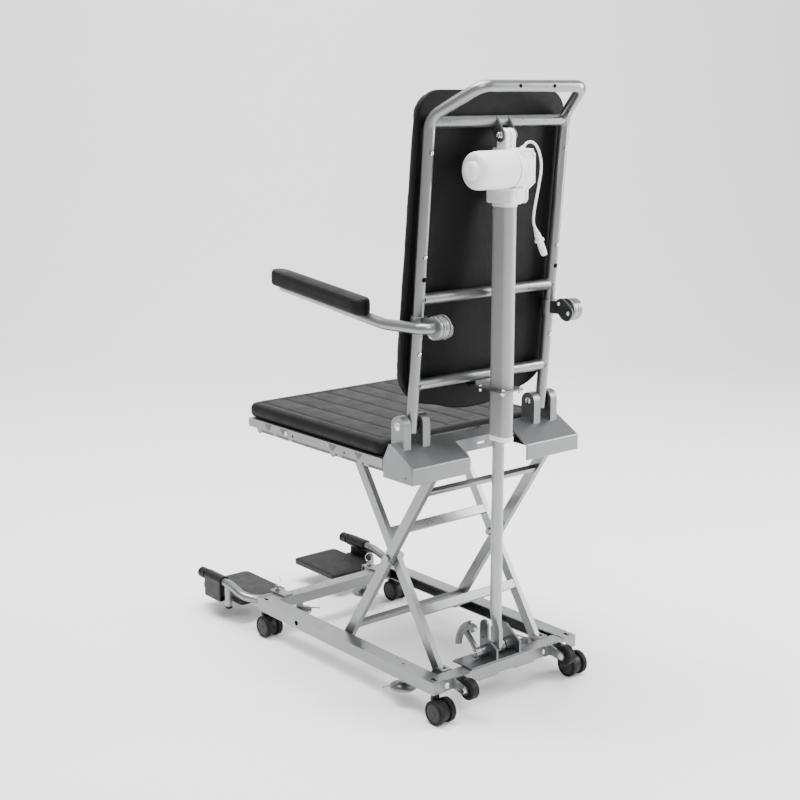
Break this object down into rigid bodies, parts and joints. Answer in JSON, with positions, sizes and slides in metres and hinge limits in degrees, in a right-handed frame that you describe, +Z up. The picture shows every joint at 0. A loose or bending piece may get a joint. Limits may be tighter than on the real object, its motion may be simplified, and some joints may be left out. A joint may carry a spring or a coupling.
{
  "type": "sit to stand lift",
  "caption": "Wheeled chair on a scissor frame, raised by an upright electric actuator behind the backrest, with fold-up armrests and flip-up footplates.",
  "frame": {"origin": "on the floor, below the middle of the whole chair's box", "axes": "+Z up, the chair faces -Y, the user's left is +X"},
  "size_m": [0.486, 0.904, 1.233],
  "materials": {
    "silver_frame": "satin silver powder coat",
    "dark_steel": "dark grey coat",
    "zinc_steel": "bright zinc",
    "actuator_rod": "satin anodised",
    "white_housing": "fine texture",
    "actuator_tube": "pale grey speckled coat",
    "black_plastic": "fine texture",
    "wheel_rubber": "matt",
    "black_upholstery": "wipe-clean vinyl over foam"
  },
  "bodies": {
    "base": {"base_rail_left": "silver_frame", "base_rail_right": "silver_frame", "front_beam": "silver_frame", "rear_beam": "silver_frame", "pivot_bracket_left": "silver_frame", "pivot_bracket_right": "silver_frame", "tip_fork_left": "silver_frame", "tip_fork_right": "silver_frame", "latch_base": "silver_frame", "footrest_tube_left": "silver_frame", "footrest_tube_right": "silver_frame", "actuator_rod": "actuator_rod"},
    "inner_frame": {"inner_arm_left": "silver_frame", "inner_arm_right": "silver_frame", "inner_bar_low": "silver_frame", "inner_bar_high": "silver_frame"},
    "outer_frame": {"outer_arm_left": "silver_frame", "outer_arm_right": "silver_frame", "outer_bar_low": "silver_frame", "outer_bar_high": "silver_frame"},
    "seat": {"seat_tray": "silver_frame", "seat_channel_left": "silver_frame", "seat_channel_right": "silver_frame", "seat_rear": "silver_frame", "seat_cushion": "black_upholstery", "back_frame": "silver_frame", "cross_tube_top": "silver_frame", "cross_tube_mid": "silver_frame", "cross_tube_low": "silver_frame", "back_cushion": "black_upholstery", "actuator_tube": "actuator_tube", "gearbox": "white_housing", "motor": "white_housing", "arm_bracket_left": "silver_frame", "arm_bracket_right": "silver_frame", "cable": "white_housing", "cable_plug": "white_housing"},
    "armrest_left": {"armrest_tube_left": "silver_frame", "armrest_pad_left": "black_upholstery"},
    "armrest_right": {"armrest_tube_right": "silver_frame", "armrest_pad_right": "black_upholstery"},
    "caster_front_left": {"caster_fork_front_left": "black_plastic"},
    "wheels_front_left": {"caster_wheels_front_left": "wheel_rubber"},
    "caster_front_right": {"caster_fork_front_right": "black_plastic"},
    "wheels_front_right": {"caster_wheels_front_right": "wheel_rubber"},
    "caster_rear_left": {"caster_fork_rear_left": "black_plastic"},
    "wheels_rear_left": {"caster_wheels_rear_left": "wheel_rubber"},
    "caster_rear_right": {"caster_fork_rear_right": "black_plastic"},
    "wheels_rear_right": {"caster_wheels_rear_right": "wheel_rubber"},
    "tip_wheel_left": {"tip_wheel_left": "wheel_rubber"},
    "tip_wheel_right": {"tip_wheel_right": "wheel_rubber"},
    "foot_front_left": {"foot_front_left": "zinc_steel"},
    "foot_front_right": {"foot_front_right": "zinc_steel"},
    "foot_rear_left": {"foot_rear_left": "zinc_steel"},
    "foot_rear_right": {"foot_rear_right": "zinc_steel"},
    "latch": {"latch_lever": "dark_steel"},
    "footplate_left": {"footplate_left": "black_plastic"},
    "lock_pin_left": {"lock_pin_left": "zinc_steel"},
    "footplate_right": {"footplate_right": "black_plastic"},
    "lock_pin_right": {"lock_pin_right": "zinc_steel"}
  },
  "joints": [
    {"name": "lift", "type": "hinge", "parent": "base", "child": "inner_frame", "pos_m": [0, 0.344, 0.071], "axis": [1, 0, 0], "range_deg": [0, 49.15]},
    {"name": "scissor_pivot", "type": "hinge", "parent": "inner_frame", "child": "outer_frame", "pos_m": [0, 0.20574, 0.28108], "axis": [1, 0, 0], "range_deg": [-98.3, 0]},
    {"name": "seat_pivot", "type": "hinge", "parent": "outer_frame", "child": "seat", "pos_m": [0, 0.344, 0.49117], "axis": [1, 0, 0], "range_deg": [0, 49.15]},
    {"name": "armrest_left_fold", "type": "hinge", "parent": "seat", "child": "armrest_left", "pos_m": [0.2105, 0.38, 0.782], "axis": [1, 0, 0], "range_deg": [-95, 0]},
    {"name": "armrest_right_fold", "type": "hinge", "parent": "seat", "child": "armrest_right", "pos_m": [-0.2105, 0.38, 0.782], "axis": [1, 0, 0], "range_deg": [-95, 0]},
    {"name": "swivel_front_left", "type": "hinge", "parent": "base", "child": "caster_front_left", "pos_m": [0.186, -0.202, 0.025], "axis": [0, 0, 1], "continuous": true},
    {"name": "roll_front_left", "type": "hinge", "parent": "caster_front_left", "child": "wheels_front_left", "pos_m": [0.186, -0.186, 0.025], "axis": [1, 0, 0], "continuous": true},
    {"name": "swivel_front_right", "type": "hinge", "parent": "base", "child": "caster_front_right", "pos_m": [-0.186, -0.202, 0.025], "axis": [0, 0, 1], "continuous": true},
    {"name": "roll_front_right", "type": "hinge", "parent": "caster_front_right", "child": "wheels_front_right", "pos_m": [-0.186, -0.186, 0.025], "axis": [1, 0, 0], "continuous": true},
    {"name": "swivel_rear_left", "type": "hinge", "parent": "base", "child": "caster_rear_left", "pos_m": [0.186, 0.388, 0.025], "axis": [0, 0, 1], "continuous": true},
    {"name": "roll_rear_left", "type": "hinge", "parent": "caster_rear_left", "child": "wheels_rear_left", "pos_m": [0.186, 0.404, 0.025], "axis": [1, 0, 0], "continuous": true},
    {"name": "swivel_rear_right", "type": "hinge", "parent": "base", "child": "caster_rear_right", "pos_m": [-0.186, 0.388, 0.025], "axis": [0, 0, 1], "continuous": true},
    {"name": "roll_rear_right", "type": "hinge", "parent": "caster_rear_right", "child": "wheels_rear_right", "pos_m": [-0.186, 0.404, 0.025], "axis": [1, 0, 0], "continuous": true},
    {"name": "tip_wheel_left_roll", "type": "hinge", "parent": "base", "child": "tip_wheel_left", "pos_m": [0.135, 0.431, 0.066], "axis": [1, 0, 0], "continuous": true},
    {"name": "tip_wheel_right_roll", "type": "hinge", "parent": "base", "child": "tip_wheel_right", "pos_m": [-0.135, 0.431, 0.066], "axis": [1, 0, 0], "continuous": true},
    {"name": "foot_front_left_drop", "type": "slide", "parent": "base", "child": "foot_front_left", "axis": [0, 0, 1], "range_m": [-0.033, 0]},
    {"name": "foot_front_right_drop", "type": "slide", "parent": "base", "child": "foot_front_right", "axis": [0, 0, 1], "range_m": [-0.033, 0]},
    {"name": "foot_rear_left_drop", "type": "slide", "parent": "base", "child": "foot_rear_left", "axis": [0, 0, 1], "range_m": [-0.033, 0]},
    {"name": "foot_rear_right_drop", "type": "slide", "parent": "base", "child": "foot_rear_right", "axis": [0, 0, 1], "range_m": [-0.033, 0]},
    {"name": "latch_swing", "type": "hinge", "parent": "base", "child": "latch", "pos_m": [0, 0.365, 0.1], "axis": [1, 0, 0], "range_deg": [-60, 0]},
    {"name": "footplate_left_flip", "type": "hinge", "parent": "base", "child": "footplate_left", "pos_m": [0.211, -0.367, 0.093], "axis": [0, 1, 0], "range_deg": [0, 90]},
    {"name": "lock_pin_left_pull", "type": "slide", "parent": "base", "child": "lock_pin_left", "axis": [0, 0, 1], "range_m": [0, 0.015], "stiffness_N_per_m": 150},
    {"name": "footplate_right_flip", "type": "hinge", "parent": "base", "child": "footplate_right", "pos_m": [-0.211, -0.367, 0.093], "axis": [0, 1, 0], "range_deg": [-90, 0]},
    {"name": "lock_pin_right_pull", "type": "slide", "parent": "base", "child": "lock_pin_right", "axis": [0, 0, 1], "range_m": [0, 0.015], "stiffness_N_per_m": 150}
  ],
  "couplings": [
    {"joint": "scissor_pivot", "follows": "lift", "ratio": -2},
    {"joint": "seat_pivot", "follows": "lift", "ratio": 1}
  ]
}
